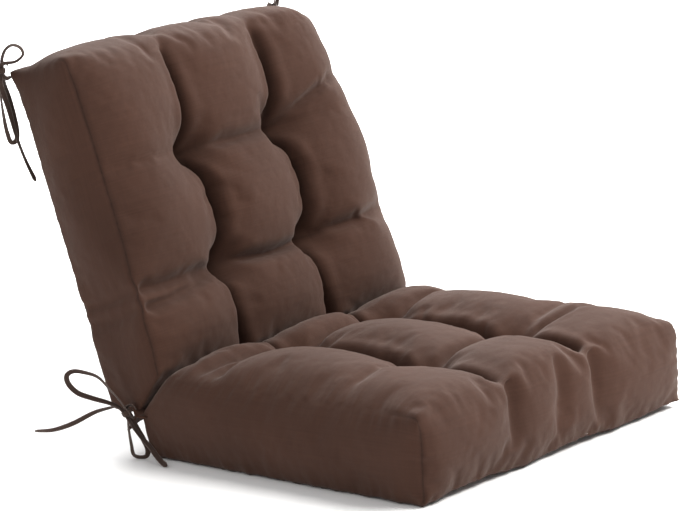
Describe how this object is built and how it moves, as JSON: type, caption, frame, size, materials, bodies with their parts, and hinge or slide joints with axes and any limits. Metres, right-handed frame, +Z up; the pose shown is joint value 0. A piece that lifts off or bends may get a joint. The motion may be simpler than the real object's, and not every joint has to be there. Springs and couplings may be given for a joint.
{
  "type": "chair seat pad",
  "caption": "Tufted seat and back chair cushion with boxed sides, sewn fold and string ties at the fold and the top corners.",
  "frame": {"origin": "under the middle of the two pads' box (without the ties), on the surface the seat lies on", "axes": "+Z up; X runs across the cushion along the fold; the seat's front edge faces -Y and the back leans towards +Y"},
  "size_m": [0.6984, 0.6846, 0.5326],
  "materials": {
    "cover": "plain dark brown woven polyester, matt",
    "tie": "folded and stitched strip of the cover fabric",
    "thread": "dark brown stitched thread",
    "fill": "white polyester fibre wadding"
  },
  "bodies": {
    "seat": {"seat_top_panel": "cover", "seat_bottom_panel": "cover", "seat_left_band": "cover", "seat_right_band": "cover", "seat_fill": "fill", "seat_tuft_rear_left": "thread", "seat_tuft_rear_right": "thread", "seat_tuft_front_left": "thread", "seat_tuft_front_right": "thread", "hinge_web": "cover", "tie_fold_left_strand_a": "tie", "tie_fold_left_strand_b": "tie", "tie_fold_left_knot": "tie", "tie_fold_right_strand_a": "tie", "tie_fold_right_strand_b": "tie", "tie_fold_right_knot": "tie"},
    "back": {"back_front_panel": "cover", "back_rear_panel": "cover", "back_left_band": "cover", "back_right_band": "cover", "back_fill": "fill", "back_tuft_lower_left": "thread", "back_tuft_lower_right": "thread", "back_tuft_upper_left": "thread", "back_tuft_upper_right": "thread", "tie_top_left_strand_a": "tie", "tie_top_left_strand_b": "tie", "tie_top_left_knot": "tie", "tie_top_right_strand_a": "tie", "tie_top_right_strand_b": "tie", "tie_top_right_knot": "tie"}
  },
  "joints": [
    {"name": "fold", "type": "hinge", "parent": "seat", "child": "back", "pos_m": [0, 0.1406, 0.055], "axis": [1, 0, 0], "range_deg": [-72, 18]}
  ]
}
